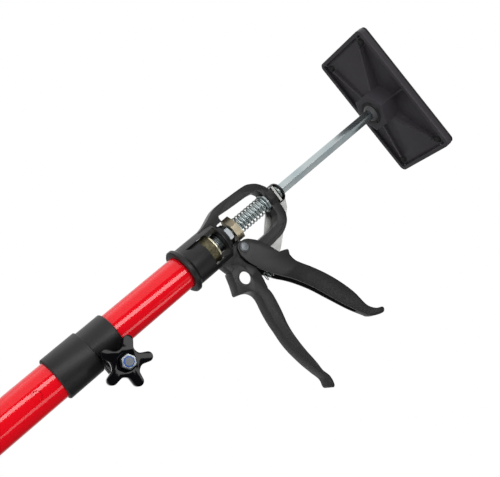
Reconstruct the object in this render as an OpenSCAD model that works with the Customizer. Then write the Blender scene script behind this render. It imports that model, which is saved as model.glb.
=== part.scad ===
// Telescopic quick-support prop: two steel tubes with a clamped sliding fit, a caulking-gun
// style grip that jacks a hexagonal push rod, and a swivelling pad at each end.
//
// Frame: +Z up the pole, origin at the centre of the foot pad's underside.
// +X points from the pole towards the trigger and the handle, Y runs across the grip.

/* [Bearing pads] */
// Length of each pad, in the plane of the handle
pad_length = 126; // [112:1:150]
// Width of each pad
pad_width = 76; // [70:1:90]
// Corner radius of the pads
pad_corner_r = 5; // [2:0.5:10]
// Thickness of the rubber facing
rubber_t = 2.5; // [1.5:0.5:5]
// Thickness of the moulded plate's floor
plate_floor_t = 2.5; // [2:0.25:4]
// Height of the rim above the rubber facing
rim_h = 5.5; // [4.5:0.5:8]
// Width of the rim
rim_w = 3.5; // [2:0.5:6]
// Thickness of the diagonal ribs
rib_t = 1.8; // [1.2:0.2:3]
// Distance of the rubber studs from the plate's edges
stud_inset = 9.5; // [8:0.5:14]
// Diameter of the rubber studs' necks
stud_d = 5; // [3:0.5:6]

/* [Swivels] */
// Diameter of the swivel balls
ball_d = 18; // [17:0.5:22]
// Wall of the split ring that holds each ball
liner_t = 2; // [1.5:0.25:3]
// Gap between the spherical faces that slide on each other
swivel_gap = 0.2; // [0.1:0.05:0.4]
// How far each ball's centre lies behind the front of its hub
ball_sink = 4; // [3.5:0.5:5]
// Wall between the ring's seat and the hub's flats
hub_wall = 4.15; // [3:0.25:6]
// Space behind the ball for the socket cap and its screw
cap_depth = 17; // [16:0.5:20]
// Diameter of the turned end that carries the ball
spigot_d = 8; // [7:0.5:9]
// Running gap round the turned end
spigot_gap = 0.05; // [0.02:0.01:0.1]
// Head diameter of the screw that holds the ball on
ball_screw_head_d = 9; // [8.8:0.2:10.4]
// Shank diameter of that screw
ball_screw_d = 4; // [3:0.5:5]

/* [Tubes] */
// Outside diameter of the inner tube
inner_tube_d = 28; // [26:0.5:32]
// Wall of both tubes
tube_wall = 1; // [0.8:0.1:1.5]
// Sliding gap between the inner tube and what guides it
tube_gap = 0.3; // [0.2:0.05:0.4]
// Length of the inner tube
inner_tube_length = 880; // [700:1:1400]
// How much longer the outer tube is, so that the inner one slides in without reaching the foot
outer_tube_spare = 14; // [0:1:60]
// Stretch of inner tube that shows between the collar and the grip
reach = 70.5; // [40:0.5:600]
// Diameter of the sight hole in the outer tube
sight_hole_d = 8; // [5:0.5:10]
// Distance of the sight hole below the collar
sight_hole_drop = 18; // [12:1:40]
// Thickness of the flanges of the tubes' plastic plugs
plug_flange_t = 4; // [3:0.5:6]
// Depth that the plugs reach into the tubes
plug_depth = 26; // [15:1:40]
// Height of the outer tube's lower end above the foot ball's centre
stem_reach = 24.5; // [23.5:0.5:32]

/* [Clamp collar] */
// Length of the collar's lower sleeve, round the outer tube
sleeve_length = 31; // [24:1:45]
// Length of the collar's clamping band, round the inner tube
band_length = 22.5; // [22:0.5:30]
// Wall of the lower sleeve
sleeve_wall = 2.4; // [1.8:0.1:4]
// Wall of the clamping band
band_wall = 1.9; // [1.6:0.1:3]
// Slit between the clamp's ears
slit_w = 3; // [2:0.5:4]
// Thickness of each ear
ear_t = 8; // [6:0.5:10]
// Radius of the ears round their bolt
ear_r = 9; // [8:0.5:10.5]
// Distance from the pole's axis to the clamp bolt
bolt_offset = 22.3; // [21.6:0.1:25]
// Clamp bolt diameter
bolt_d = 6; // [5:0.5:6.5]
// Across flats of the clamp bolt's head and of its lock nut
bolt_hex = 10; // [9:0.5:11]
// Thickness of the washer under the knob
washer_t = 1.2; // [0.8:0.1:2]
// Tip diameter of the star knob
knob_d = 39; // [34:0.5:44]
// Number of the knob's lobes
knob_lobes = 5; // [4:1:7]
// Angle of the knob's first lobe from the handle's plane
knob_angle = 136.7; // [0:0.1:360]
// Thickness of the knob's star
knob_t = 7.5; // [6:0.5:10]
// Height of the knob's hub under the star
knob_hub_h = 6; // [5.5:0.5:9]
// Axial play that one turn of the knob takes up
knob_travel = 1; // [0.8:0.05:1.2]

/* [Grip frame] */
// Depth of the socket that takes the inner tube
socket_depth = 22.5; // [20:0.5:24]
// Wall of the socket
socket_wall = 2.6; // [2:0.1:4]
// How far the socket's flange stands out
flange_out = 2.3; // [1.5:0.1:4]
// Height of the flange
flange_h = 4.5; // [3:0.5:7]
// Height of the chamber above the tube, where the tube's nut shows
chamber_h = 16.5; // [15:0.5:18]
// Thickness of the wall that the hollow bolt clamps
cross_wall_t = 6; // [5:0.5:8]
// Thickness of the frame where it lies between the trigger's cheeks
frame_t = 12.2; // [11:0.1:14]
// Thickness of the fixed handle
handle_t = 16.4; // [15:0.2:18]
// Inside height of the frame's loop
loop_h = 48.5; // [48:0.5:60]
// Thickness of the loop's top bar
top_bar_t = 7.5; // [6:0.5:10]
// Height of the boss above the top bar
boss_h = 10; // [8:0.5:14]
// Radius of that boss
boss_r = 8.6; // [8.4:0.1:10]
// Reach of the fixed handle from the pole's axis
handle_reach = 148; // [130:1:165]
// Diameter of the hole for hanging the prop up
hang_hole_d = 10.6; // [8:0.2:11]
// Wall that the hanging hole goes through; the handle is hollow behind it
hang_wall_t = 4; // [3:0.5:5]
// Depth of the moulded recesses in the frame
recess_depth = 1.2; // [0.6:0.1:2]

/* [Trigger] */
// Reach of the trigger from the pole's axis
trigger_reach = 133; // [118:1:150]
// Wall of the trigger's channel
trigger_wall = 1.7; // [1.4:0.1:2.5]
// Running gap between the trigger's cheeks and the frame
cheek_gap = 0.3; // [0.2:0.05:0.5]
// Rivet diameter
rivet_d = 5; // [4:0.25:6]
// Running gap round the rivet
rivet_gap = 0.05; // [0.02:0.01:0.1]
// Diameter of the rivet's heads
rivet_head_d = 8; // [7:0.5:10]

/* [Drive] */
// Across flats of the hexagonal push rod
rod_hex = 9; // [7.5:0.25:9.5]
// Length of the push rod's hexagon
rod_length = 252; // [235:1:254]
// How far the push rod stands out of the grip, to its ball's centre
rod_out = 124.5; // [40:0.5:160]
// Gap round the rod in the pieces that it slides through
rod_gap = 0.4; // [0.3:0.05:0.6]
// Diameter of the hollow bolt's shank
bush_d = 16; // [14.5:0.25:17]
// Across flats of the hollow bolt's head
bush_hex = 16.4; // [16.4:0.1:17.4]
// Height of the hollow bolt's head
bush_head_h = 5.3; // [4.5:0.1:5.4]
// Across flats of the tube's nut
tube_nut_hex = 23; // [20:0.5:23]
// Thickness of the tube's nut
tube_nut_h = 9; // [6:0.5:10]
// Thickness of the drive plate
drive_plate_t = 6.5; // [5:0.5:8]
// Outside diameter of the main spring
main_spring_d = 15; // [14:0.5:16]
// Wire diameter of the main spring
main_wire_d = 1.3; // [1:0.1:1.6]
// Number of turns of the main spring
main_turns = 9; // [7:1:11]
// Wire diameter of the brake spring
brake_wire_d = 1; // [0.8:0.1:1.2]
// Wire diameter of the trigger's return spring
return_wire_d = 0.8; // [0.6:0.1:1]
// Outside diameter of the trigger's return spring
return_spring_d = 7; // [6:0.5:8]
// Thickness of the release lever's steel
lever_t = 2; // [1.5:0.25:2.5]

/* [Hidden] */
$fn = 64;
cut = 0.5;              // how far a cutter runs past the face it opens
beyond = 200;           // the size of a cutter that only has to be larger than the trigger
seat = 0.2;             // gap at a face that another piece turns or slides on

// --- heights up the pole ---
ball_z = rubber_t + cap_depth;
ball_flat = sqrt(pow(ball_d / 2, 2) - pow(rod_hex / sqrt(3), 2));
stem_z = ball_z + ball_flat + seat;
tube_base_z = ball_z + stem_reach;
outer_tube_length = inner_tube_length + outer_tube_spare;
outer_tube_top_z = tube_base_z + outer_tube_length;
collar_top_z = outer_tube_top_z + band_length;
head_z = collar_top_z + reach;
tube_end_z = head_z + socket_depth;
inner_tube_base_z = tube_end_z - inner_tube_length;
ceiling_z = tube_end_z + chamber_h;
wall_top_z = ceiling_z + cross_wall_t;
bush_top_z = wall_top_z + bush_head_h;
drive_plate_z = bush_top_z + 2.5;
loop_top_z = wall_top_z + loop_h;
bar_top_z = loop_top_z + top_bar_t;
boss_top_z = bar_top_z + boss_h;
spring_washer_z = loop_top_z - seat - 1.5;
top_ball_z = boss_top_z + rod_out;
rod_top_z = top_ball_z - ball_flat - seat;
rod_base_z = rod_top_z - rod_length;
top_z = top_ball_z + ball_z;

// --- radii ---
ball_r = ball_d / 2;
liner_in_r = ball_r + swivel_gap;
liner_out_r = liner_in_r + liner_t;
seat_r = liner_out_r + swivel_gap;
hub_h = cap_depth + ball_sink;
hub_flats = 2 * (seat_r + hub_wall);
inner_r = inner_tube_d / 2;
outer_bore_r = inner_r + tube_gap;
outer_r = outer_bore_r + tube_wall;
socket_r = inner_r + 0.1 + socket_wall;
rod_corner_r = rod_hex / sqrt(3);
rod_hole_r = rod_corner_r + rod_gap;
eye_half = boss_r - 1.6;    // half the width of the release lever's eye
boss_window_h = boss_h - 3.5;
cheek_in = frame_t / 2 + cheek_gap;
cheek_out = cheek_in + trigger_wall;

// --- the grip's fixed points, as [distance from the pole's axis, height above the socket] ---
wall_h = wall_top_z - head_z;
pivot = [16, wall_h + 6];
hang_hole = [34.8, wall_h - 9.5];
lug_r = 4.6;
return_spring_x = 46;
trigger_web_x = 33;     // where the web that joins the trigger's cheeks begins
trigger_tip_solid = 16; // length of the trigger's solid tip

// A smooth curve through the points p, with n steps from each point to the next.
function bend(a, b, c, d, t) =
    0.5 * (2 * b + (c - a) * t + (2 * a - 5 * b + 4 * c - d) * t * t + (3 * b - a - 3 * c + d) * t ^ 3);
function curve(p, n = 5) = [
    for (i = [0 : len(p) - 2], k = [0 : n - 1])
        bend(p[max(i - 1, 0)], p[i], p[i + 1], p[min(i + 2, len(p) - 1)], k / n),
    p[len(p) - 1]
];

// A flat outline in the grip's plane, t thick, centred on the plane.
module in_plane(t) rotate([90, 0, 0]) linear_extrude(t, center = true) children();

module rounded(r) offset(r = r) offset(delta = -r) children();

module hex_prism(flats, h) rotate(90) cylinder(d = flats * 2 / sqrt(3), h = h, $fn = 6);

// A hexagon whose corners are turned off at its upper end, as on a nut.
module nut_blank(flats, h) intersection() {
    hex_prism(flats, h);
    translate([0, 0, h - 2 * flats]) cylinder(r1 = flats * 2.54, r2 = flats * 0.54, h = 2 * flats);
}

// A coil spring of round wire, with its lower end at z = 0, r to the outside of the coil.
module coil(r, wire_d, h, turns, steps = 16, sides = 6) {
    rise = (h - wire_d) / (turns * steps);
    ring = [for (k = [0 : sides - 1]) wire_d / 2 * [cos(k * 360 / sides), sin(k * 360 / sides)]];
    centre_r = r - wire_d / 2;
    count = turns * steps;
    points = [
        for (i = [0 : count], p = ring)
            let (a = i * 360 / steps)
            [(centre_r + p[0]) * cos(a), (centre_r + p[0]) * sin(a), wire_d / 2 + i * rise + p[1]]
    ];
    sides_of_wire = [
        for (i = [0 : count - 1], k = [0 : sides - 1])
            let (next = (k + 1) % sides)
            each [
                [i * sides + k, (i + 1) * sides + next, (i + 1) * sides + k],
                [i * sides + k, i * sides + next, (i + 1) * sides + next]
            ]
    ];
    ends = [[for (k = [sides - 1 : -1 : 0]) k], [for (k = [0 : sides - 1]) count * sides + k]];
    polyhedron(points, concat(sides_of_wire, ends), convexity = 10);
}

// ---------------------------------------------------------------- bearing pads
// Each pad is drawn with its face down: z = 0 where the rubber meets the plate, +z to the ball.

module pad_outline(inset = 0)
    rounded(max(pad_corner_r - inset, 0.8))
        square([pad_length - 2 * inset, pad_width - 2 * inset], center = true);

module at_studs()
    for (x = [-1, 1], y = [-1, 1])
        translate([x * (pad_length / 2 - stud_inset), y * (pad_width / 2 - stud_inset)]) children();

// One ramp of the plate: it narrows and climbs from the short end to the hub.
module ramp(end_half, hub_half, end_z, hub_z) {
    hub_x = hub_flats / 2 - cut;
    end_x = pad_length / 2 - rim_w + cut;
    intersection() {
        linear_extrude(hub_h)
            polygon([[hub_x, -hub_half], [end_x, -end_half], [end_x, end_half], [hub_x, hub_half]]);
        rotate([90, 0, 0]) linear_extrude(pad_width, center = true)
            polygon([[hub_x, 0], [end_x, 0], [end_x, end_z], [hub_x, hub_z]]);
    }
}

module pad_plate() {
    hub_side = hub_flats / sqrt(3);
    end_half = pad_width / 2 - rim_w - 2;
    difference() {
        union() {
            linear_extrude(plate_floor_t) pad_outline();
            linear_extrude(rim_h) difference() {
                pad_outline();
                pad_outline(rim_w);
            }
            intersection() {
                hex_prism(hub_flats, hub_h);
                translate([0, 0, -hub_h]) cylinder(r1 = 4 * hub_flats, r2 = hub_flats * 0.55, h = 2 * hub_h);
            }
            for (side = [0, 180]) rotate(side) {
                ramp(end_half, hub_side / 2, plate_floor_t + 0.5, hub_h / 2);
                // A rib stands on each slanting edge of the ramp.
                for (flip = [0, 1]) mirror([0, flip, 0]) intersection() {
                    ramp(end_half, hub_side / 2, rim_h, hub_h / 2 + 2.5);
                    linear_extrude(hub_h) polygon([
                        [hub_flats / 2 - cut, hub_side / 2 - rib_t], [pad_length / 2, end_half - rib_t],
                        [pad_length / 2, end_half], [hub_flats / 2 - cut, hub_side / 2]
                    ]);
                }
            }
            // A short rib stays the hub against each long side.
            for (side = [-90, 90]) rotate([90, 0, side]) linear_extrude(rib_t, center = true) polygon([
                [hub_side - cut, 0], [pad_width / 2 - rim_w / 2, 0],
                [pad_width / 2 - rim_w / 2, rim_h], [hub_side - cut, rim_h + 2]
            ]);
            at_studs() cylinder(d = stud_d + 4, h = plate_floor_t + 1);
        }
        translate([0, 0, cap_depth]) sphere(seat_r);
        translate([0, 0, -cut]) cylinder(r = seat_r, h = cap_depth + cut);
        at_studs() {
            translate([0, 0, -cut]) cylinder(d = stud_d, h = rim_h + 2 * cut);
            translate([0, 0, plate_floor_t + 1]) cylinder(d = stud_d + 4, h = rim_h);
        }
    }
}

module socket_cap() difference() {
    cylinder(r = seat_r - 0.05, h = cap_depth - liner_out_r / 2 - 1);
    translate([0, 0, cap_depth]) sphere(seat_r);
}

module pad_rubber() union() {
    translate([0, 0, -rubber_t]) linear_extrude(rubber_t) pad_outline(0.5);
    at_studs() {
        cylinder(d = stud_d - 0.2, h = plate_floor_t + 2.2);
        translate([0, 0, plate_floor_t + 1]) cylinder(d1 = stud_d + 2, d2 = stud_d - 1, h = 2.2);
    }
}

// The ring that grips the ball, slit on one side so that it can be sprung over it.
module liner() difference() {
    sphere(liner_out_r);
    sphere(liner_in_r);
    translate([0, 0, ball_sink + 0.5]) cylinder(r = liner_out_r + 1, h = liner_out_r);
    translate([0, 0, -liner_out_r - ball_sink - 1]) cylinder(r = liner_out_r + 1, h = liner_out_r);
    translate([0, -0.6, -liner_out_r]) cube([liner_out_r + 1, 1.2, 2 * liner_out_r]);
}

// The ball, with a flat towards its rod and a counterbore for the screw behind it.
module ball() difference() {
    sphere(ball_r);
    translate([0, 0, ball_flat]) cylinder(r = ball_r, h = ball_r);
    translate([0, 0, -ball_r]) cylinder(d = spigot_d + 2 * spigot_gap, h = 2 * ball_r);
    translate([0, 0, -ball_r - cut]) cylinder(d = ball_screw_head_d + 1.2, h = ball_r / 2 + cut);
}

// The turned end that carries a ball, and the screw that holds it on.
spigot_end = -ball_r / 2 - seat;    // it stands a little proud in the ball's counterbore

module spigot() difference() {
    translate([0, 0, spigot_end]) cylinder(d = spigot_d, h = ball_flat + seat - spigot_end + cut);
    translate([0, 0, spigot_end - cut]) cylinder(d = ball_screw_d, h = 9 + cut);
}

module ball_screw() {
    head_h = 3;
    translate([0, 0, spigot_end]) cylinder(d = ball_screw_d, h = 8);
    translate([0, 0, spigot_end - head_h]) difference() {
        cylinder(d = ball_screw_head_d, h = head_h);
        translate([0, 0, -cut]) hex_prism(4, 2 + cut);
    }
}

module at_foot() translate([0, 0, rubber_t]) children();
module at_foot_ball() translate([0, 0, ball_z]) children();
module at_top() translate([0, 0, top_z - rubber_t]) mirror([0, 0, 1]) children();
module at_top_ball() translate([0, 0, top_ball_z]) mirror([0, 0, 1]) children();

module foot_rubber() color("#202020") at_foot() pad_rubber();
module foot_plate() color("#1c1c1e") at_foot() pad_plate();
module foot_socket_cap() color("#2a2a2a") at_foot() socket_cap();
module foot_liner() color("#161616") at_foot_ball() liner();
module foot_ball() color("#4a4a4a") at_foot_ball() ball();
module foot_ball_screw() color("#a9b8b8") at_foot_ball() ball_screw();
module foot_stem() color("#a9b8b8") at_foot_ball() {
    spigot();
    difference() {
        translate([0, 0, ball_flat + seat]) hex_prism(rod_hex, tube_base_z - stem_z + plug_depth - 4);
        translate([0, 0, ball_flat]) cylinder(d = ball_screw_d, h = 1.5);
    }
}

module top_rubber() color("#202020") at_top() pad_rubber();
module top_plate() color("#1c1c1e") at_top() pad_plate();
module top_socket_cap() color("#2a2a2a") at_top() socket_cap();
module top_liner() color("#161616") at_top_ball() liner();
module top_ball() color("#4a4a4a") at_top_ball() ball();
module top_ball_screw() color("#a9b8b8") at_top_ball() ball_screw();

// ---------------------------------------------------------------- tubes

module foot_plug() color("#1c1c1e") difference() {
    union() {
        translate([0, 0, tube_base_z - plug_flange_t]) cylinder(r = outer_r, h = plug_flange_t);
        translate([0, 0, tube_base_z]) cylinder(r = outer_bore_r - 0.05, h = plug_depth);
    }
    translate([0, 0, tube_base_z - plug_flange_t - cut])
        hex_prism(rod_hex + 0.1, plug_flange_t + plug_depth - 4 + cut);
}

module outer_tube() color("#f52a3c") difference() {
    translate([0, 0, tube_base_z]) cylinder(r = outer_r, h = outer_tube_length);
    translate([0, 0, tube_base_z - cut]) cylinder(r = outer_bore_r, h = outer_tube_length + 2 * cut);
    translate([0, 0, outer_tube_top_z - sleeve_length - sight_hole_drop])
        rotate([90, 0, 0]) cylinder(d = sight_hole_d, h = outer_r + cut);
}

module inner_tube() color("#f52a3c") difference() {
    translate([0, 0, inner_tube_base_z]) cylinder(r = inner_r, h = inner_tube_length);
    translate([0, 0, inner_tube_base_z - cut])
        cylinder(r = inner_r - tube_wall, h = inner_tube_length + 2 * cut);
}

// The bush that centres the inner tube's lower end; the tube can turn on it.
module glide_bush() color("#303030") difference() {
    union() {
        translate([0, 0, inner_tube_base_z - seat - 8]) cylinder(r = outer_bore_r - seat, h = 8);
        translate([0, 0, inner_tube_base_z - seat]) cylinder(r = inner_r - tube_wall - 0.1, h = 14);
    }
    translate([0, 0, inner_tube_base_z - seat - 8 - cut])
        cylinder(r = inner_r - tube_wall - 3, h = 22 + 2 * cut);
}

// ---------------------------------------------------------------- clamp collar
band_r = inner_r + tube_gap + band_wall;
sleeve_r = outer_r + sleeve_wall;
bolt_z = outer_tube_top_z + band_length / 2;
ear_face = slit_w / 2 + ear_t;      // the ears' outer faces, from the plane of the slit

module along_bolt(y) translate([bolt_offset, y, bolt_z]) rotate([90, 0, 0]) children();

module clamp_collar() color("#222222") difference() {
    union() {
        translate([0, 0, outer_tube_top_z - sleeve_length]) rotate_extrude() polygon([
            [0, 0], [sleeve_r - 0.8, 0], [sleeve_r, 0.8], [sleeve_r, sleeve_length - 0.6],
            [sleeve_r - 0.6, sleeve_length], [band_r, sleeve_length],
            [band_r, sleeve_length + band_length - 0.8], [band_r - 0.8, sleeve_length + band_length],
            [0, sleeve_length + band_length]
        ]);
        along_bolt(ear_face) {
            cylinder(r = ear_r, h = 2 * ear_face);
            translate([-bolt_offset, -ear_r, 0]) cube([bolt_offset, 2 * ear_r, 2 * ear_face]);
        }
    }
    translate([0, 0, outer_tube_top_z - sleeve_length - cut]) cylinder(r = outer_r, h = sleeve_length + cut);
    translate([0, 0, outer_tube_top_z - cut]) cylinder(r = inner_r + tube_gap, h = band_length + 2 * cut);
    // The slit between the ears, and the cut that frees the band from the sleeve on that side.
    translate([0, -slit_w / 2, outer_tube_top_z])
        cube([bolt_offset + ear_r + cut, slit_w, band_length + cut]);
    translate([0, -sleeve_r - cut, outer_tube_top_z - 0.05])
        cube([sleeve_r + cut, 2 * (sleeve_r + cut), 0.85]);
    along_bolt(ear_face + cut) cylinder(d = bolt_d + 0.3, h = 2 * (ear_face + cut));
    along_bolt(ear_face + cut) hex_prism(bolt_hex + 0.2, 4 + cut);
}

knob_back = -(ear_face + washer_t + seat);
star_front = knob_back - knob_hub_h - knob_t;
lock_nut_y = star_front - knob_travel - seat;

module clamp_bolt() color("#a9b8b8") {
    along_bolt(ear_face) hex_prism(bolt_hex, 4);
    along_bolt(ear_face) cylinder(d = bolt_d, h = ear_face - lock_nut_y + bolt_hex * 0.6 + 1);
}

module clamp_washer() color("#a9b8b8") along_bolt(-ear_face - seat / 2) difference() {
    cylinder(d = 2 * bolt_d + 1, h = washer_t);
    translate([0, 0, -cut]) cylinder(d = bolt_d + 0.4, h = washer_t + 2 * cut);
}

// Five round lobes with round hollows between them.
module star_outline() {
    lobe_r = knob_d * 0.095;
    tip = knob_d / 2 - lobe_r;
    rounded(1.5) offset(r = -lobe_r * 1.1) offset(delta = lobe_r * 1.1) union() {
        circle(r = knob_d * 0.27);
        for (i = [0 : knob_lobes - 1]) rotate(knob_angle + i * 360 / knob_lobes) hull() {
            translate([tip, 0]) circle(r = lobe_r);
            circle(r = lobe_r * 1.35);
        }
    }
}

module star_knob() color("#0c0c0c") along_bolt(knob_back) difference() {
    union() {
        cylinder(d = 15, h = knob_hub_h + cut);
        translate([0, 0, knob_hub_h]) linear_extrude(knob_t) star_outline();
    }
    translate([0, 0, -cut]) cylinder(d = bolt_d + 0.2, h = knob_hub_h + knob_t + 2 * cut);
    translate([0, 0, knob_hub_h + knob_t - 0.8]) cylinder(d = 13, h = 1);
}

module clamp_lock_nut() color("#a9b8b8") along_bolt(lock_nut_y) difference() {
    nut_blank(bolt_hex, bolt_hex * 0.6);
    translate([0, 0, -cut]) cylinder(d = bolt_d, h = bolt_hex);
}

// ---------------------------------------------------------------- grip frame

module at_head() translate([0, 0, head_z]) children();

// The loop round the drive: outer and inner outlines, heights measured from the socket's base.
loop_base = wall_h - 16;
loop_top = bar_top_z - head_z;
window_top = loop_top_z - head_z;

module loop_outer() polygon(curve([
    [-socket_r + 0.6, loop_base], [-17.6, wall_h - 7.3], [-21.9, wall_h + 4.4], [-23.1, wall_h + 11.5],
    [-22.9, wall_h + 21], [-22.4, loop_top - 24], [-21.6, loop_top - 15], [-19.9, loop_top - 10.5],
    [-16.7, loop_top - 5.6], [-12, loop_top - 2], [-7.8, loop_top - 0.2], [0, loop_top],
    [13.2, loop_top - 0.2],
    [20.4, loop_top - 3.1], [24.6, loop_top - 7.5], [27.9, loop_top - 14.3], [28.8, loop_top - 21.6],
    [29.4, wall_h + 24.4], [29, wall_h + 8], [27, wall_h - 4], [18, loop_base]
], 3));

module loop_window() rounded(2) polygon([
    [-16.2, wall_h + 5.7], [-11.2, wall_h + 5.7], [-11.2, wall_h - 1], [10.5, wall_h - 1],
    [10.5, wall_h + 7], [19.5, wall_h + 15],
    [19.5, window_top - 9], [17.1, window_top - 3.6], [13.4, window_top - 0.6], [10, window_top],
    [-9, window_top], [-12.5, window_top - 2.2], [-13.6, window_top - 7.6], [-14.7, wall_h + 22]
]);

// The fixed handle: thicker than the frame, it stays below the sweep of the trigger's cheeks.
module handle_outline() {
    f = handle_reach / 148;
    low = curve([
        [23.8, 33], [24.2, 29.6], [25.2, 28.7], [33, 26], [40, 22.9], [41.8, 23], [42.7, 24.8],
        [43.8, 28.2], [46, 32.2], [49.4, 34.6],
        [53.5, 35.4], [58.2, 34.8], [62.5, 33.6], [69, 32.1], [77.3 * f, 30.7], [85 * f, 30], [92 * f, 29.2],
        [99 * f, 28.9], [106 * f, 29.2], [113 * f, 30], [120 * f, 31], [126 * f, 32.3], [131 * f, 33.4],
        [136 * f, 34.7], [139.6 * f, 34.8], [143.6 * f, 33.5], [145.4 * f, 33.4]
    ], 3);
    high = curve([
        [146.7 * f, 34.3], [145.7 * f, 36], [142 * f, 37.4], [137.6 * f, 37.9], [133.8 * f, 37.1],
        [130.3 * f, 36.3], [124.3 * f, 36.5], [117.7 * f, 36.4], [109.7 * f, 36], [101.2 * f, 36.1],
        [92.2 * f, 36.7], [83.2 * f, 38.3], [72.7, 41.4], [59.4, 44.3], [52.5, 44.2], [47, 43.2], [41, 41.3],
        [34, 40.7], [25.6, 40.6], [24.3, 37], [23.8, 33.4]
    ], 3);
    translate([0, wall_h - 45]) polygon(concat(low, high));
}

// The web that joins the handle to the socket, as thick as the frame.
module handle_root() translate([0, wall_h - 45]) polygon([
    [socket_r - 3, 27], [24, 29.7], [35, 30], [50, 38], [53.5, 44], [52.5, 45.6], [45.6, 47.4], [30, 50],
    [socket_r - 3, 52]
]);

module frame_outline() difference() {
    union() {
        loop_outer();
        handle_root();
        translate(pivot) circle(r = lug_r);
    }
    loop_window();
    // Room for the trigger's nose over the pivot's lug.
    difference() {
        translate(pivot) union() {
            translate([-9, -1.2]) square([5, 11]);
            intersection() {
                circle(r = 7.6);
                polygon([[-9, 0], [-9, 9], [4, 9], [0, 0]]);
            }
        }
        translate(pivot) circle(r = lug_r);
    }
}

// The pockets on both faces of the frame, which leave a rim along its outline.
module frame_pockets() {
    intersection() {
        offset(delta = -2.4) frame_outline();
        translate([21.9, wall_h + 12]) square([20, 50]);
    }
    // The web sinks between the pivot and the round land of the hanging hole.
    difference() {
        intersection() {
            handle_root();
            translate([0, wall_h - 45]) polygon([[19.5, 33], [26, 33], [38.5, 46], [38.5, 60], [19.5, 60]]);
        }
        translate(hang_hole + [1.4, 1.8]) circle(r = hang_hole_d / 2 + 5.9);
        translate(pivot) circle(r = 6);
    }
}

module grip_frame() color("#1a1a1a") at_head() difference() {
    union() {
        rotate_extrude() polygon([
            [0, 0], [socket_r + flange_out - 1, 0], [socket_r + flange_out, 1],
            [socket_r + flange_out, flange_h - 1],
            [socket_r + flange_out - 1, flange_h], [socket_r, flange_h + 1.5], [socket_r, wall_h - 5],
            [socket_r - 1, wall_h - 4], [bush_d / 2 + 3.9, wall_h - 4], [bush_d / 2 + 3.9, wall_h],
            [0, wall_h]
        ]);
        in_plane(frame_t) frame_outline();
        in_plane(handle_t) handle_outline();
        // The boss round the rod has a rounded shoulder.
        translate([0, 0, window_top]) rotate_extrude() difference() {
            rounded(3) translate([-boss_r, 0]) square([2 * boss_r, top_bar_t + boss_h]);
            translate([-2 * boss_r, -cut]) square([2 * boss_r, top_bar_t + boss_h + 2 * cut]);
        }
    }
    translate([0, 0, -cut]) cylinder(r = inner_r + 0.1, h = socket_depth + cut);
    translate([0, 0, socket_depth - cut]) cylinder(r = inner_r - 0.4, h = chamber_h + cut);
    // Windows into the chamber, front and back; beside the tube's end each runs on as a shallow pocket.
    in_plane(2 * (socket_r + cut)) translate([-12, socket_depth]) square([24.6, chamber_h]);
    difference() {
        in_plane(2 * (socket_r + cut)) translate([0, socket_depth]) polygon([
            [-12, -12.5], [-8.7, -8], [-6.2, -2], [-4.5, 0.1], [-12, 0.1]
        ]);
        cylinder(r = inner_r + 0.9, h = wall_h);
    }
    translate([0, 0, socket_depth]) cylinder(d = bush_d + 0.2, h = wall_h);
    // The rod's hole, the boss's bore and its side opening.
    translate([0, 0, window_top - cut]) cylinder(r = rod_hole_r, h = 40);
    // The boss is open front and back round the release lever's eye and its spring.
    translate([-eye_half - 0.3, -boss_r - cut, loop_top + 1])
        cube([2 * eye_half + 0.6, 2 * (boss_r + cut), boss_window_h]);
    in_plane(handle_t + 2 * cut) translate(hang_hole) circle(d = hang_hole_d);
    translate([0, hang_wall_t, 0]) in_plane(handle_t) hull() {
        translate(hang_hole) circle(r = hang_hole_d / 2 + 1.5);
        translate(hang_hole + [1.2, 4.6]) circle(r = hang_hole_d / 2 + 0.8);
    }
    translate([pivot[0], 0, pivot[1]]) rotate([90, 0, 0])
        cylinder(d = rivet_d, h = frame_t + 2 * cut, center = true);
    for (side = [0, 1]) mirror([0, side, 0])
        translate([0, -frame_t / 2 - cut / 2, 0]) in_plane(2 * recess_depth + cut) frame_pockets();
}

module tube_nut() color("#8b8268") translate([0, 0, tube_end_z]) difference() {
    nut_blank(tube_nut_hex, tube_nut_h);
    translate([0, 0, -cut]) cylinder(d = bush_d, h = tube_nut_h + 2 * cut);
}

module hollow_bolt() color("#a9b8b8") difference() {
    union() {
        translate([0, 0, tube_end_z - 2]) cylinder(d = bush_d, h = wall_top_z - tube_end_z + 2 + cut);
        translate([0, 0, wall_top_z]) rotate(90) nut_blank(bush_hex, bush_head_h);
    }
    translate([0, 0, tube_end_z - 3]) cylinder(r = rod_hole_r, h = 60);
}

// ---------------------------------------------------------------- trigger

module trigger_outline() {
    f = trigger_reach / 133;
    top = curve([[12.6, 7], [19.5, 13.3], [29, 18], [36.9, 21]], 4);
    back = curve([
        [44.4, 26.8], [52.2, 28.1], [66.5 * f, 37.3], [83.2 * f, 45.8], [102.3 * f, 52.1],
        [117.3 * f, 53.8], [123.3 * f, 56.4], [127.6 * f, 60.5], [129.4 * f, 64.4], [131.9 * f, 64.6],
        [133.4 * f, 61.8], [131.2 * f, 55.6], [127.8 * f, 50.9], [124.6 * f, 48.9], [111.6 * f, 41.5],
        [94.2 * f, 33.6], [77 * f, 25.9], [62.1, 17], [52, 9], [42, 2], [29, -4.5], [19, -6.6]
    ], 4);
    translate([0, wall_h + 6]) union() {
        polygon(concat(
            top, [[38.6, 25.5], [39.9, 28.2], [41, 28.6]], back, [[15, -5.3], [10.5, 1], [11, 4]]
        ));
        translate([pivot[0], 0]) circle(r = 5.6);
    }
}

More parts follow.
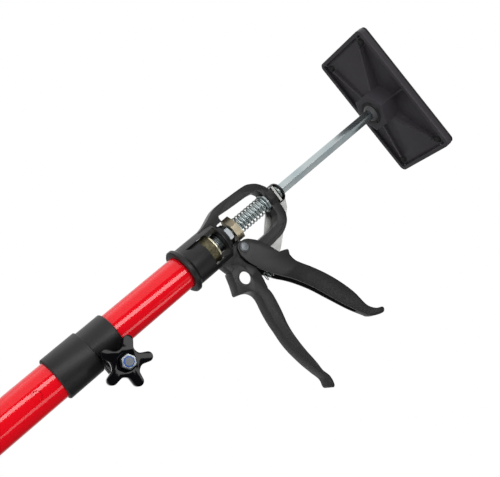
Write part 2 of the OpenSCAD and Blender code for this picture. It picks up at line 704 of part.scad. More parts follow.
// The trigger seen from above: it narrows from its cheeks to its tip.
module trigger_plan(inset) {
    side = [
        for (p = [[0, 0], [54, 0], [66, 1.6], [80, 2.6], [100, 3.3], [trigger_reach + 5, 3.7]])
            [p[0], cheek_out - p[1] - inset]
    ];
    other_side = [for (i = [len(side) - 1 : -1 : 0]) [side[i][0], -side[i][1]]];
    linear_extrude(beyond) polygon(concat(side, other_side));
}

// The nose bridges the two cheeks and lifts the drive plate.
module trigger_nose() translate([0, wall_h + 6]) difference() {
    polygon([[8.5, -0.4], [8.5, 1.6], [10.5, 1.6], [11.3, 4.2], [12.8, 5.9], [15.4, 6.5], [15.4, 0]]);
    translate([pivot[0], 0]) circle(r = lug_r + 0.3);
}

module trigger() color("#161616") at_head() {
    difference() {
        intersection() {
            in_plane(2 * cheek_out) trigger_outline();
            trigger_plan(0);
        }
        // Open channel: hollow between the cheeks, with a web along the back only.
        intersection() {
            in_plane(2 * cheek_in) union() {
                difference() {
                    translate([0, -1.5]) offset(delta = -trigger_wall) trigger_outline();
                    translate([trigger_reach - trigger_tip_solid, 0]) square(beyond);
                }
                intersection() {
                    translate([0, -trigger_wall - 1.5]) trigger_outline();
                    translate([trigger_web_x, 0])
                        square([trigger_reach - trigger_tip_solid - trigger_web_x, beyond]);
                }
                square([trigger_web_x, beyond]);
            }
            trigger_plan(trigger_wall);
        }
        translate([pivot[0], 0, pivot[1]]) rotate([90, 0, 0])
            cylinder(d = rivet_d + 2 * rivet_gap, h = 3 * cheek_out, center = true);
    }
    in_plane(2 * cheek_in + 0.2) trigger_nose();
}

module trigger_rivet() color("#9aa0a4") at_head() translate([pivot[0], 0, pivot[1]]) rotate([90, 0, 0]) {
    cylinder(d = rivet_d, h = 2 * (cheek_out + seat) + 1, center = true);
    for (side = [0, 1]) mirror([0, 0, side]) translate([0, 0, cheek_out + seat]) rotate_extrude()
        polygon([
            [0, 0], [rivet_head_d / 2, 0], [rivet_head_d / 2, 0.6], [rivet_head_d / 2 - 1, 1.6], [0, 2]
        ]);
}

module return_spring() color("#8a9090") at_head() translate([return_spring_x, 0, wall_h + 4.1])
    coil(return_spring_d / 2, return_wire_d, 25.4, 8, 10, 6);

// ---------------------------------------------------------------- drive

module rod_hole(h) translate([0, 0, -cut]) cylinder(r = rod_hole_r, h = h + 2 * cut);

module drive_plate() color("#86806f") translate([0, 0, drive_plate_z]) difference() {
    linear_extrude(drive_plate_t) polygon([
        [-11.3, -1], [-3, -8], [5.8, -7.3], [10, -4.3], [10, 4.3], [5.8, 7.3], [-3, 8], [-11.3, 1]
    ]);
    rod_hole(drive_plate_t);
}

spring_base_z = drive_plate_z + drive_plate_t + 0.05;

module main_spring() color("#b4c4c4") translate([0, 0, spring_base_z])
    coil(main_spring_d / 2, main_wire_d, spring_washer_z - spring_base_z - 0.05, main_turns);

module spring_washer() color("#b4c4c4") translate([0, 0, spring_washer_z]) difference() {
    cylinder(d = main_spring_d + 1, h = 1.5);
    rod_hole(1.5);
}

// The release lever: an eye inside the boss, and a leg down the far side of the frame. The eye
// lies tilted, so that it bites on the rod, and lifts against the brake spring to let go.
lever_tilt = 3;
lever_pivot = [-eye_half, loop_top + 1.9];
leg_face = frame_t / 2 + 2.5;
eye_gap = 0.7;      // between the eye and the rod's corners

module release_lever() color("#8f9090") at_head() translate([lever_pivot[0], 0, lever_pivot[1]])
    rotate([0, lever_tilt, 0]) translate([-lever_pivot[0], 0, 0]) union() {
        difference() {
            translate([-eye_half, -boss_r + 1, 0])
                cube([2 * eye_half, boss_r - 1 + leg_face + lever_t, lever_t]);
            translate([0, 0, -cut]) cylinder(r = rod_corner_r + eye_gap, h = lever_t + 2 * cut);
        }
        translate([0, leg_face + lever_t / 2, lever_t]) in_plane(lever_t) rounded(1.5) polygon([
            [-4, 13], [4, 13.3], [15, 7.8], [38.4, -19.3], [40.2, -22], [35, -28], [22.8, -25.7],
            [8.8, -12.2], [-eye_half, -4], [-eye_half, 5]
        ]);
        // The thumb tab is turned outwards at the leg's lower end.
        translate([31, leg_face, lever_t - 27]) rotate([0, 38, 0]) translate([-7, 0, 0])
            cube([14, 9, lever_t]);
    }

module brake_spring() color("#b4c4c4") translate([0, 0, head_z + lever_pivot[1] + lever_t + 0.5])
    coil(eye_half - 0.2, brake_wire_d, boss_window_h - lever_t - 1.5, 2, 14, 6);

module push_rod() color("#a9b8b8") {
    difference() {
        translate([0, 0, rod_base_z]) hex_prism(rod_hex, rod_length);
        translate([0, 0, rod_top_z - 1.5]) cylinder(d = ball_screw_d, h = 2);
    }
    at_top_ball() spigot();
}

// The stop that keeps the rod from being pulled out of the grip.
module rod_stop() color("#a9b8b8") translate([0, 0, rod_base_z + 3]) difference() {
    cylinder(r = inner_r - tube_wall - 1, h = 5);
    translate([0, 0, -cut]) hex_prism(rod_hex, 5 + 2 * cut);
}

// ---------------------------------------------------------------- the assembly
foot_rubber();
foot_plate();
foot_socket_cap();
foot_liner();
foot_ball();
foot_ball_screw();
foot_stem();
foot_plug();
outer_tube();
clamp_collar();
clamp_bolt();
clamp_washer();
star_knob();
clamp_lock_nut();
glide_bush();
inner_tube();
tube_nut();
grip_frame();
hollow_bolt();
drive_plate();
main_spring();
spring_washer();
trigger();
trigger_rivet();
return_spring();
release_lever();
brake_spring();
push_rod();
rod_stop();
top_ball_screw();
top_ball();
top_liner();
top_socket_cap();
top_plate();
top_rubber();
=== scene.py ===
# %% [markdown]
# # A quick-support prop, dressed for the camera
#
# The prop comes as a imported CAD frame: every node is in metres, +Z runs up the pole and
# +X points to the trigger and the handle. Here each piece gets the surface that it has in
# the workshop, and the pieces whose edges or windings the CAD leaves plain are worked up.

# %% Frame
import math

import bpy
from mathutils import Matrix, Vector


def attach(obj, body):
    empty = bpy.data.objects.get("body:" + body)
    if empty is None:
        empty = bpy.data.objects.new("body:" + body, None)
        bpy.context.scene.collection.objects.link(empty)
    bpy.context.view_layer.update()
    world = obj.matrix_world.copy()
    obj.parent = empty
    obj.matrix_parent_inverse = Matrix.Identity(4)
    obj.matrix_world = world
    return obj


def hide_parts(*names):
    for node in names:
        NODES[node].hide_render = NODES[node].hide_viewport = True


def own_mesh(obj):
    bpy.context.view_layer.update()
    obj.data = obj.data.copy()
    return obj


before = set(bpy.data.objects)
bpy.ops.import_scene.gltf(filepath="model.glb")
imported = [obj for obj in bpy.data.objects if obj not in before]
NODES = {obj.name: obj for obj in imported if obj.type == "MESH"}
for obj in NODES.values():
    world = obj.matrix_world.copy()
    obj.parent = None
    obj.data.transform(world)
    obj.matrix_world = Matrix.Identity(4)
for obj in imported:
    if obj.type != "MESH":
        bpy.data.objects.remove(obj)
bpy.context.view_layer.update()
MM = 0.001

# %% [markdown]
# ## Camera
#
# The prop was looked at from below and from its knob side, with the camera rolled so that
# the pole lies across the picture. The three directions of the picture are written in the
# prop's own frame and put into a matrix, which keeps the roll exact.

# %% Camera
PICTURE_RIGHT = Vector((0.631658, -0.347417, 0.693044))
PICTURE_DOWN = Vector((0.773015, 0.214463, -0.597038))
LOOK = Vector((0.058789, 0.912857, 0.404025))
EYE = Vector((-0.02362, -0.58864, 0.83351))

lens = bpy.data.cameras.new("camera")
lens.lens = 57.6
lens.sensor_width = 36.0
lens.clip_start = 0.02
camera = bpy.data.objects.new("camera", lens)
turn = Matrix((PICTURE_RIGHT, -PICTURE_DOWN, -LOOK)).transposed()
camera.matrix_world = Matrix.Translation(EYE) @ turn.to_4x4()
bpy.context.scene.collection.objects.link(camera)
bpy.context.scene.camera = camera
print("camera at", EYE)

# %% [markdown]
# ## Studio
#
# A studio for small products is a dark room with a white sweep behind the object. Gloss paint
# and plating are seen mostly by what they mirror, so the room matters as much as the lamps:
# seen from the prop, the world is white towards the sweep, behind it and to the left of the
# camera, and dark on the camera's side.
# Diffuse surfaces only need a plain level, and the camera sees plain white.

# %% World
scene = bpy.context.scene
scene.view_settings.view_transform = "Standard"
AMBIENT = 0.25
DARK_ROOM = 0.06
TO_SWEEP = (-0.447, 0.894, 0.0)

world = bpy.data.worlds.new("studio")
scene.world = world
world.use_nodes = True
sky = world.node_tree
sky.nodes.clear()


def sky_node(kind, **settings):
    made = sky.nodes.new(kind)
    for key, value in settings.items():
        setattr(made, key, value)
    return made


facing = sky_node("ShaderNodeVectorMath", operation="DOT_PRODUCT")
sky.links.new(sky_node("ShaderNodeTexCoord").outputs["Generated"], facing.inputs[0])
facing.inputs[1].default_value = TO_SWEEP
sweep = sky_node("ShaderNodeMapRange", interpolation_type="SMOOTHSTEP")
sky.links.new(facing.outputs["Value"], sweep.inputs["Value"])
sweep.inputs["From Min"].default_value = 0.15
sweep.inputs["From Max"].default_value = 0.85
sweep.inputs["To Min"].default_value = DARK_ROOM
sweep.inputs["To Max"].default_value = 1.0

path = sky_node("ShaderNodeLightPath")
mirrored = sky_node("ShaderNodeBackground")
mirrored.inputs["Color"].default_value = (1, 1, 1, 1)
sky.links.new(sweep.outputs["Result"], mirrored.inputs["Strength"])
plain = sky_node("ShaderNodeBackground")
plain.inputs["Color"].default_value = (1, 1, 1, 1)
plain.inputs["Strength"].default_value = AMBIENT
white = sky_node("ShaderNodeBackground")
white.inputs["Color"].default_value = (1, 1, 1, 1)
by_gloss = sky_node("ShaderNodeMixShader")
sky.links.new(path.outputs["Is Glossy Ray"], by_gloss.inputs["Fac"])
sky.links.new(plain.outputs[0], by_gloss.inputs[1])
sky.links.new(mirrored.outputs[0], by_gloss.inputs[2])
by_view = sky_node("ShaderNodeMixShader")
seen = sky_node("ShaderNodeMath", operation="MAXIMUM")
sky.links.new(path.outputs["Is Camera Ray"], seen.inputs[0])
sky.links.new(path.outputs["Is Transmission Ray"], seen.inputs[1])
sky.links.new(seen.outputs[0], by_view.inputs["Fac"])
sky.links.new(by_gloss.outputs[0], by_view.inputs[1])
sky.links.new(white.outputs[0], by_view.inputs[2])
sky.links.new(by_view.outputs[0], sky_node("ShaderNodeOutputWorld").inputs["Surface"])
print("world ready, ambient", AMBIENT)

# %% [markdown]
# ## Lamps
#
# A lamp is easiest to place by the direction in which the prop sees it, because a tube shows
# a lamp as a stripe half-way between that direction and the camera. A long narrow box above
# the camera draws the bright stripe, a broad one overhead gives the soft side light, and a
# weak one low on the right draws the second, thinner stripe. Two more keep the right-hand
# flats of the bright rod and the undersides of the black mouldings from going dead.

# %% Lamps
MIDDLE = Vector((0.0, 0.0, 0.95))


def soft_box(name, toward, along, distance, length, width, brightness):
    """A rectangular lamp that the prop sees in the direction toward, its long side along."""
    data = bpy.data.lights.new(name, "AREA")
    data.shape = "RECTANGLE"
    data.size, data.size_y = length, width
    data.energy = brightness * math.pi * length * width
    back = Vector(toward).normalized()
    side = (Vector(along) - Vector(along).project(back)).normalized()
    light = bpy.data.objects.new(name, data)
    light.visible_camera = False
    turned = Matrix((side, back.cross(side), back)).transposed()
    light.matrix_world = Matrix.Translation(MIDDLE + distance * back) @ turned.to_4x4()
    scene.collection.objects.link(light)
    print(name, "%.1f W" % data.energy)


soft_box("strip", (-0.20, -0.95, 0.18), (0.834, 0.0, 0.552), 1.7, 2.0, 0.34, 6.0)
soft_box("overhead", (-0.773, -0.214, 0.597), (0.0, 1.0, 0.0), 1.6, 2.6, 2.6, 0.85)
soft_box("low_right", (0.83, -0.50, 0.18), (0.33, 0.75, 0.55), 1.6, 1.2, 0.25, 2.0)
soft_box("right", (0.745, -0.395, 0.60), (0.0, 1.0, 0.0), 1.9, 1.5, 0.9, 0.45)
soft_box("under", (-0.10, -0.35, -0.90), (1.0, 0.0, 0.0), 0.9, 0.9, 0.9, 0.5)

# %% [markdown]
# ## Materials in Python
#
# Shader arithmetic reads best as arithmetic. `Field` wraps one socket, and its operators
# add Math nodes; `Finish` starts a material and adds any other node by its type.

# %% Shader helpers


class Field:
    """A value that varies over a surface."""

    def __init__(self, finish, socket):
        self.finish, self.socket = finish, socket

    def _math(self, operation, *terms):
        node = self.finish.node("ShaderNodeMath", {"operation": operation}, dict(enumerate(terms)))
        return Field(self.finish, node.outputs[0])

    def __add__(self, other):
        return self._math("ADD", self, other)

    def __sub__(self, other):
        return self._math("SUBTRACT", self, other)

    def __mul__(self, other):
        return self._math("MULTIPLY", self, other)

    def clamp(self, low=0.0, high=1.0):
        return self._math("MINIMUM", self._math("MAXIMUM", self, low), high)


class Finish:
    """A material under construction round one Principled shader."""

    def __init__(self, name, **constants):
        self.material = bpy.data.materials.new(name)
        self.material.use_nodes = True
        self.tree = self.material.node_tree
        self.tree.nodes.clear()
        self.shader = self.tree.nodes.new("ShaderNodeBsdfPrincipled")
        out = self.tree.nodes.new("ShaderNodeOutputMaterial")
        self.tree.links.new(self.shader.outputs["BSDF"], out.inputs["Surface"])
        self.place = self.node("ShaderNodeTexCoord").outputs["Object"]
        for socket, value in constants.items():
            self.put(self.shader, socket.replace("_", " "), value)

    def put(self, node, key, value):
        socket = node.inputs[key]
        if isinstance(value, Field):
            value = value.socket
        if isinstance(value, bpy.types.NodeSocket):
            self.tree.links.new(value, socket)
        elif isinstance(value, (tuple, list)) and len(value) == 3 and socket.type == "RGBA":
            socket.default_value = (*value, 1.0)
        else:
            socket.default_value = value

    def node(self, kind, settings=None, values=None):
        made = self.tree.nodes.new(kind)
        for key, value in (settings or {}).items():
            setattr(made, key, value)
        for key, value in (values or {}).items():
            self.put(made, key, value)
        return made

    def stretched(self, scale):
        """Object coordinates scaled along each axis."""
        return self.node("ShaderNodeMapping", None, {"Vector": self.place, "Scale": scale}).outputs[0]

    def noise(self, scale, detail, roughness=0.55, place=None):
        made = self.node("ShaderNodeTexNoise", None, {
            "Vector": place or self.place, "Scale": scale, "Detail": detail, "Roughness": roughness})
        return Field(self, made.outputs[0])

    def mix(self, amount, first, second):
        made = self.node("ShaderNodeMix", {"data_type": "RGBA"}, {0: amount, 6: first, 7: second})
        return made.outputs[2]

    def bump(self, height, distance, strength):
        values = {"Height": height, "Distance": distance, "Strength": strength}
        return self.node("ShaderNodeBump", None, values).outputs[0]

    def set(self, socket, value):
        self.put(self.shader, socket, value)


def linear(*srgb):
    """A screen colour, 0 to 255, as the linear colour that a shader takes."""
    return tuple((v / 255 / 12.92) if v <= 10 else ((v / 255 + 0.055) / 1.055) ** 2.4 for v in srgb)


# %% [markdown]
# ## Powder coat
#
# The tubes are powder coated in a hot red and stoved until the film flows out glossy. A clear
# coat gives the gloss, and a broad noise under it gives a little unevenness in colour.

# %% Red powder coat
coat = Finish("red_powder_coat", Roughness=0.5, Coat_Roughness=0.09, Specular_IOR_Level=0.0)
coat.set("Coat Weight", 1.0)
uneven = coat.noise(18.0, 2.0)
coat.set("Base Color", coat.mix(uneven, linear(252, 9, 32), linear(247, 7, 27)))
RED = coat.material
print("made", RED.name)

# %% [markdown]
# ## Moulded black plastic
#
# The grip, the collar and the pads are glass-filled nylon from a spark-eroded mould: dark
# grey rather than black, satin, with a fine grain and slight flow marks.

# %% Moulded plastics


def moulded_plastic(name, dark, light, rough, grain=0.00005, shine=0.45):
    finish = Finish(name, Specular_IOR_Level=shine)
    flow = finish.noise(35.0, 4.0)
    finish.set("Base Color", finish.mix(flow, dark, light))
    speckle = finish.noise(2600.0, 2.0)
    finish.set("Roughness", (speckle * 0.12 + flow * 0.08 + (rough - 0.10)).clamp())
    finish.set("Normal", finish.bump(speckle, grain, 0.7))
    return finish.material


BLACK = moulded_plastic("moulded_black", linear(21, 20, 21), linear(27, 26, 27), 0.40)
COLLAR = moulded_plastic("moulded_collar", linear(22, 21, 21), linear(29, 28, 28), 0.42)
PAD = moulded_plastic("moulded_pad", linear(54, 51, 56), linear(61, 58, 63), 0.36)
KNOB = moulded_plastic("moulded_knob", linear(8, 8, 11), linear(13, 13, 17), 0.08, 0.000001, 0.15)
BALL = moulded_plastic("moulded_ball", linear(70, 70, 72), linear(84, 84, 86), 0.35, 0.00002)
RUBBER = moulded_plastic("pad_rubber", linear(22, 22, 22), linear(34, 33, 33), 0.72, 0.00012)
NYLON = moulded_plastic("nut_nylon", linear(40, 84, 170), linear(58, 104, 190), 0.40, 0.00001)
print("made the moulded finishes")

# %% [markdown]
# ## Plated steel
#
# Bright zinc has a cool cast and faint drawing lines; the yellow-passivated pieces wander
# between gold and olive; the pressed lever is dull. One recipe makes all of them: brushed
# lines along one axis in roughness and bump, a cloudy tint, and full metal.

# %% Plated steels


def plated(name, first, second, rough, lines=(1, 1, 0.03), depth=0.00002, cloud=60.0, grain=0.22):
    finish = Finish(name, Metallic=1.0)
    brushed = finish.noise(1400.0, 3.0, 0.6, finish.stretched(lines))
    mottled = (finish.noise(cloud, 3.0) * 2.2 - 0.6).clamp()
    finish.set("Base Color", finish.mix(mottled, first, second))
    finish.set("Roughness", (brushed * grain + mottled * 0.06 + (rough - grain / 2)).clamp(0.03, 1.0))
    finish.set("Normal", finish.bump(brushed, depth, 0.5))
    return finish.material


ZINC = plated("bright_zinc", linear(182, 196, 200), linear(204, 212, 212), 0.20,
              (1, 1, 0.006), 0.000001, grain=0.05)
BOLT_END = plated("bolt_end", linear(112, 117, 122), linear(142, 146, 150), 0.5, (1, 1, 1))
NUT_STEEL = plated("nut_zinc", linear(128, 134, 138), linear(150, 154, 156), 0.30)
ZINC_TURNED = plated("turned_zinc", linear(166, 176, 178), linear(196, 202, 202), 0.28, (0.05, 1, 1))
SPRING = plated("spring_zinc", linear(190, 202, 200), linear(210, 218, 216), 0.22)
GOLD = plated("yellow_passivated", linear(172, 164, 142), linear(140, 130, 110), 0.34, cloud=220.0)
OLIVE = plated("olive_passivated", linear(74, 70, 54), linear(132, 126, 100), 0.38, cloud=420.0)
# Painted highlight: this pale cream stands for the lit chamfer of the olive tube nut.
NUT_EDGE_HIGHLIGHT = plated("nut_edge_painted_highlight", linear(226, 220, 190), linear(244, 240, 220), 0.30, cloud=160.0)
LEVER = plated("pressed_steel", linear(196, 197, 194), linear(176, 176, 173), 0.42, (0.2, 0.2, 0.04))
RIVET = plated("rivet_steel", linear(142, 146, 150), linear(120, 124, 128), 0.44, (1, 1, 1))
print("made the plated finishes")

# %% [markdown]
# ## Dressing the CAD nodes
#
# A node whose shape is right stays as it is and only takes its finish.

# %% Finishes of the nodes
WEARS = {
    "outer_tube": RED, "inner_tube": RED,
    "grip_frame": BLACK, "trigger": BLACK, "clamp_collar": COLLAR, "star_knob": KNOB,
    "foot_plate": PAD, "top_plate": PAD, "foot_socket_cap": PAD, "top_socket_cap": PAD,
    "foot_liner": COLLAR, "top_liner": COLLAR, "foot_plug": COLLAR, "glide_bush": COLLAR,
    "foot_rubber": RUBBER, "top_rubber": RUBBER, "foot_ball": BALL, "top_ball": BALL,
    "push_rod": ZINC, "foot_stem": ZINC, "rod_stop": ZINC, "hollow_bolt": NUT_STEEL,
    "clamp_bolt": BOLT_END, "clamp_washer": ZINC_TURNED, "clamp_lock_nut": NUT_STEEL,
    "spring_washer": ZINC_TURNED, "foot_ball_screw": ZINC_TURNED, "top_ball_screw": ZINC_TURNED,
    "main_spring": SPRING, "brake_spring": SPRING, "return_spring": SPRING,
    "drive_plate": GOLD, "tube_nut": OLIVE, "release_lever": LEVER, "trigger_rivet": RIVET,
}


def wear(thing, material):
    thing.data.materials.clear()
    thing.data.materials.append(material)


for node, material in WEARS.items():
    wear(NODES[node], material)
missing = sorted(set(NODES) - set(WEARS))
print("dressed", len(WEARS), "nodes, left:", missing)

# %% [markdown]
# ## Soft edges
#
# Nothing that comes out of a mould has a knife edge, and it is the small round along each
# edge that catches the light. Each such node is copied, its loose triangles are joined into
# whole faces, and a narrow bevel is laid along every corner. The copy then stands for the
# node. The drawn rod and the lock nut are steel, but their edges are rounded in the same way.

# %% Bevelled copies
MERGE_WITHIN = 0.000005
FLAT_WITHIN = math.radians(0.4)
BEVEL_ABOVE = math.radians(32)
SMOOTH_BELOW = math.radians(38)
EDGE_SEGMENTS = 3


def only(thing):
    """thing alone is selected and active."""
    bpy.ops.object.select_all(action="DESELECT")
    thing.select_set(True)
    bpy.context.view_layer.objects.active = thing


def finished(thing, material, body):
    """thing takes its material and rides on body."""
    wear(thing, material)
    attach(thing, body)
    return thing


def clean_copy(node, name):
    """The node's shape as a mesh of whole faces, in a new object."""
    made = bpy.data.objects.new(name, NODES[node].data.copy())
    scene.collection.objects.link(made)
    only(made)
    bpy.ops.object.mode_set(mode="EDIT")
    bpy.ops.mesh.select_all(action="SELECT")
    bpy.ops.mesh.remove_doubles(threshold=MERGE_WITHIN)
    bpy.ops.mesh.dissolve_limited(angle_limit=FLAT_WITHIN)
    bpy.ops.object.mode_set(mode="OBJECT")
    return made


def soft_edged(node, name, width):
    """A copy of a node with a round of width, in millimetres, along its edges."""
    made = clean_copy(node, name)
    bevel = made.modifiers.new("round", "BEVEL")
    bevel.width = width * MM
    bevel.segments = EDGE_SEGMENTS
    bevel.limit_method = "ANGLE"
    bevel.angle_limit = BEVEL_ABOVE
    bevel.use_clamp_overlap = True
    bpy.ops.object.modifier_apply(modifier="round")
    bpy.ops.object.shade_smooth_by_angle(angle=SMOOTH_BELOW)
    return made


ROUNDED = [
    # node, new name, edge round in mm, material, body, slot
    ("grip_frame", "grip_frame_moulding", 0.7, BLACK, "inner_tube", "black_plastic"),
    ("trigger", "trigger_moulding", 0.6, BLACK, "trigger", "black_plastic"),
    ("clamp_collar", "collar_moulding", 0.5, COLLAR, "outer_tube", "black_plastic"),
    ("star_knob", "knob_moulding", 1.0, KNOB, "star_knob", "knob"),
    ("top_plate", "top_plate_moulding", 0.5, PAD, "top_pad", "black_plastic"),
    ("foot_plate", "foot_plate_moulding", 0.5, PAD, "foot_pad", "black_plastic"),
    ("push_rod", "push_rod_drawn", 0.5, ZINC, "push_rod", "zinc"),
    ("clamp_lock_nut", "lock_nut_turned", 0.3, NUT_STEEL, "outer_tube", "zinc"),
]
for node, name, width, material, body, slot in ROUNDED:
    piece = soft_edged(node, name, width)
    finished(piece, material, body)
    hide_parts(node)
    print(name, len(piece.data.polygons), "faces")

# %% [markdown]
# ## Tubes
#
# A tube shows its lamps as straight lines only if its surface is one smooth barrel, so each
# tube is drawn again: a ring is extruded from level to level, then given its wall. The sight
# hole lies between two close levels, which keeps its puckers away from the long highlight.

# %% Drawn tubes
TUBE_SIDES = 144
TUBE_WALL = 1.0
OUTER_TUBE_R = 15.3
OUTER_TUBE_BASE_Z = 44.0
OUTER_TUBE_TOP_Z = 938.0
INNER_TUBE_R = 14.0
INNER_TUBE_BASE_Z = 173.5
INNER_TUBE_TOP_Z = 1053.5
SIGHT_HOLE_Z = 889.0
SIGHT_HOLE_R = 4.0
SIGHT_HOLE_MARGIN = 5.0
DRILL_SIDES = 40
DRILL_LENGTH = 16
DRILL_Y = -14
# Radius, wall and levels in millimetres of the black ring that paints shade into the collar's slit.
SLIT_SHADE_R = 16.0
SLIT_SHADE_WALL = 1.5
SLIT_SHADE_LEVELS = (938.05, 938.75)


def drawn_tube(name, outside, wall, levels):
    """A tube round the pole's axis, extruded through levels (all in millimetres)."""
    bpy.ops.object.select_all(action="DESELECT")
    bpy.ops.mesh.primitive_circle_add(vertices=TUBE_SIDES, radius=outside * MM, fill_type="NOTHING")
    tube = bpy.context.active_object
    tube.name = name
    bpy.ops.object.mode_set(mode="EDIT")
    bpy.ops.transform.translate(value=(0, 0, levels[0] * MM))
    for low, high in zip(levels, levels[1:]):
        bpy.ops.mesh.extrude_region_move(TRANSFORM_OT_translate={"value": (0, 0, (high - low) * MM)})
    bpy.ops.mesh.select_all(action="SELECT")
    bpy.ops.mesh.normals_make_consistent(inside=False)
    bpy.ops.object.mode_set(mode="OBJECT")
    shell = tube.modifiers.new("wall", "SOLIDIFY")
    shell.thickness = wall * MM
    shell.offset = -1
    bpy.ops.object.modifier_apply(modifier="wall")
    return tube


outer_levels = (OUTER_TUBE_BASE_Z, SIGHT_HOLE_Z - SIGHT_HOLE_MARGIN,
                SIGHT_HOLE_Z + SIGHT_HOLE_MARGIN, OUTER_TUBE_TOP_Z)
outer_coated = drawn_tube("outer_tube_coated", OUTER_TUBE_R, TUBE_WALL, outer_levels)
bpy.ops.object.select_all(action="DESELECT")
bpy.ops.mesh.primitive_cylinder_add(vertices=DRILL_SIDES, radius=SIGHT_HOLE_R * MM,
                                    depth=DRILL_LENGTH * MM, rotation=(math.pi / 2, 0, 0))
drill = bpy.context.active_object
bpy.ops.object.transform_apply(location=False, rotation=True, scale=False)
bpy.ops.object.mode_set(mode="EDIT")
bpy.ops.transform.translate(value=(0, DRILL_Y * MM, SIGHT_HOLE_Z * MM))
bpy.ops.object.mode_set(mode="OBJECT")
only(outer_coated)
hole = outer_coated.modifiers.new("sight hole", "BOOLEAN")
hole.object = drill
hole.operation = "DIFFERENCE"
bpy.ops.object.modifier_apply(modifier="sight hole")
bpy.data.objects.remove(drill)
inner_levels = (INNER_TUBE_BASE_Z, INNER_TUBE_TOP_Z)
inner_coated = drawn_tube("inner_tube_coated", INNER_TUBE_R, TUBE_WALL, inner_levels)
for tube, node in ((outer_coated, "outer_tube"), (inner_coated, "inner_tube")):
    only(tube)
    bpy.ops.object.shade_smooth_by_angle(angle=math.radians(30))
    finished(tube, RED, node)
    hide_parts(node)
    print(tube.name, len(tube.data.polygons), "faces")

# A black ring in the cut under the clamp band is painted shade: it darkens the slit where the red
# tube that slides behind it would show.
slit_shade_ring = drawn_tube("collar_slit_shade", SLIT_SHADE_R, SLIT_SHADE_WALL, SLIT_SHADE_LEVELS)
finished(slit_shade_ring, COLLAR, "outer_tube")

# %% [markdown]
# ## Springs
#
# A spring is a ring of wire swept round its axis by the Screw modifier. In the prop, the two
# that work with the trigger shorten with it: the main spring as the drive plate lifts, the
# return spring as the trigger closes on the handle. Here these two only get a mesh of their own.

# %% Springs


def coil(name, centre, radius, wire, height, turns, steps=28, sides=12):
    """A wire of wire's thickness wound up from centre; radius is to the outside of the wire."""
    bpy.ops.object.select_all(action="DESELECT")
    bpy.ops.mesh.primitive_circle_add(vertices=sides, radius=wire / 2 * MM, fill_type="NOTHING",
                                      rotation=(math.pi / 2, 0, 0))
    made = bpy.context.active_object
    made.name = name
    bpy.ops.object.transform_apply(location=False, rotation=True, scale=False)
    bpy.ops.object.mode_set(mode="EDIT")
    bpy.ops.transform.translate(value=((radius - wire / 2) * MM, 0, wire / 2 * MM))
    bpy.ops.object.mode_set(mode="OBJECT")
    sweep_round = made.modifiers.new("turns", "SCREW")
    sweep_round.axis = "Z"
    sweep_round.screw_offset = (height - wire) / turns * MM
    sweep_round.iterations = turns
    sweep_round.steps = steps
    sweep_round.render_steps = steps
    bpy.ops.object.modifier_apply(modifier="turns")
    bpy.ops.object.mode_set(mode="EDIT")
    bpy.ops.mesh.select_all(action="SELECT")
    bpy.ops.mesh.fill_holes(sides=sides)
    bpy.ops.mesh.select_all(action="SELECT")
    bpy.ops.mesh.normals_make_consistent(inside=False)
    bpy.ops.transform.translate(value=[v * MM for v in centre])
    bpy.ops.object.mode_set(mode="OBJECT")
    bpy.ops.object.shade_smooth_by_angle(angle=math.radians(50))
    return made


COILS = [
    # node, new name, centre, radius, wire, height, turns, then, where a joint shortens it,
    # the joint, the height of the end that stays still and the share of the length kept
    ("main_spring", "main_spring_wound", (0, 0, 1090.35), 7.5, 1.3, 32.4, 9,
     "plate_lift", 1122.75, 0.9),
    ("return_spring", "return_spring_wound", (46, 0, 1080.1), 3.5, 0.8, 25.4, 8,
     "trigger_squeeze", 1080.1, 0.42),
    ("brake_spring", "brake_spring_wound", (0, 0, 1136.4), 6.8, 1.0, 3.0, 2, None, None, None),
]
for node, name, centre, radius, wire, height, turns, joint, still, kept in COILS:
    piece = coil(name, centre, radius, wire, height, turns)
    finished(piece, SPRING, "inner_tube")
    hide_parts(node)
    if joint:
        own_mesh(piece)
    print(name, len(piece.data.polygons), "faces")

# %% [markdown]
# ## Thread and chamber nut
#
# Above the nut in the window of the head, the hollow bolt shows its thread. A pale disc
# stands for the nut's chamfered edge as it catches the light, a painted highlight, and a
# blue one for the nylon in the lock nut. Both discs are solid: the nut's has no bore for the
# hollow bolt and the push rod, which pass through it, and the bolt's end covers the middle
# of the blue one.

# %% Thread and discs
THREAD_SIZE = 1.0
THREAD_PITCH = 1.5
THREAD_TURNS = 4
THREAD_SIDES = 3
THREAD_STEPS = 48
THREAD_BASE = (0, 0, 1063.6)
HOLLOW_BOLT_R = 8.0
NUT_EDGE_CENTRE = (0, 0, 1062.6)
NYLON_CENTRE = (22.3, -31.4, 949.25)
DISC_SIDES = 64


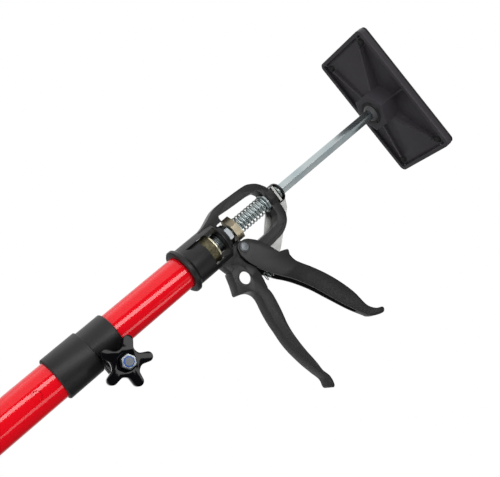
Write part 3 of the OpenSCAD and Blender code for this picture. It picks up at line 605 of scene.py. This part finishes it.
def ridge(name, centre, radius, pitch, turns, size):
    """A screw thread's ridge: a three-sided ring swept up the bolt."""
    made = coil(name, centre, radius + size / 2, size, pitch * turns + size, turns,
                THREAD_STEPS, THREAD_SIDES)
    bpy.ops.object.shade_flat()
    return made


def rounded_disc(name, centre, radius, height, edge, along_y=False):
    """A solid disc whose rim is rounded."""
    bpy.ops.object.select_all(action="DESELECT")
    tilt = (math.pi / 2, 0, 0) if along_y else (0, 0, 0)
    bpy.ops.mesh.primitive_cylinder_add(vertices=DISC_SIDES, radius=radius * MM,
                                        depth=height * MM, rotation=tilt)
    made = bpy.context.active_object
    made.name = name
    bpy.ops.object.transform_apply(location=False, rotation=True, scale=False)
    bpy.ops.object.mode_set(mode="EDIT")
    bpy.ops.transform.translate(value=[v * MM for v in centre])
    bpy.ops.object.mode_set(mode="OBJECT")
    rim = made.modifiers.new("rim", "BEVEL")
    rim.width = edge * MM
    rim.segments = EDGE_SEGMENTS
    rim.limit_method = "ANGLE"
    bpy.ops.object.modifier_apply(modifier="rim")
    bpy.ops.object.shade_smooth_by_angle(angle=SMOOTH_BELOW)
    return made


thread = ridge("hollow_bolt_thread", THREAD_BASE, HOLLOW_BOLT_R, THREAD_PITCH, THREAD_TURNS,
               THREAD_SIZE)
finished(thread, SPRING, "inner_tube")
nut_edge_highlight = rounded_disc("tube_nut_edge_highlight", NUT_EDGE_CENTRE, radius=12.7, height=1.8, edge=0.5)
finished(nut_edge_highlight, NUT_EDGE_HIGHLIGHT, "inner_tube")
nylon = rounded_disc("lock_nut_nylon", NYLON_CENTRE, radius=3.9, height=1.2, edge=0.4, along_y=True)
finished(nylon, NYLON, "outer_tube")
print("thread, nut edge and nylon disc")

# %% [markdown]
# ## Floor
#
# The floor is a broad pale sheet under the foot. It is there for the views from other
# sides, and isn't part of the prop.

# %% Floor
bpy.ops.object.select_all(action="DESELECT")
bpy.ops.mesh.primitive_plane_add(size=14.0, location=(0, 0, -0.0005))
floor = bpy.context.active_object
floor.name = "floor"
pale = Finish("pale_floor", Roughness=0.9)
pale.set("Base Color", linear(236, 236, 236))
wear(floor, pale.material)
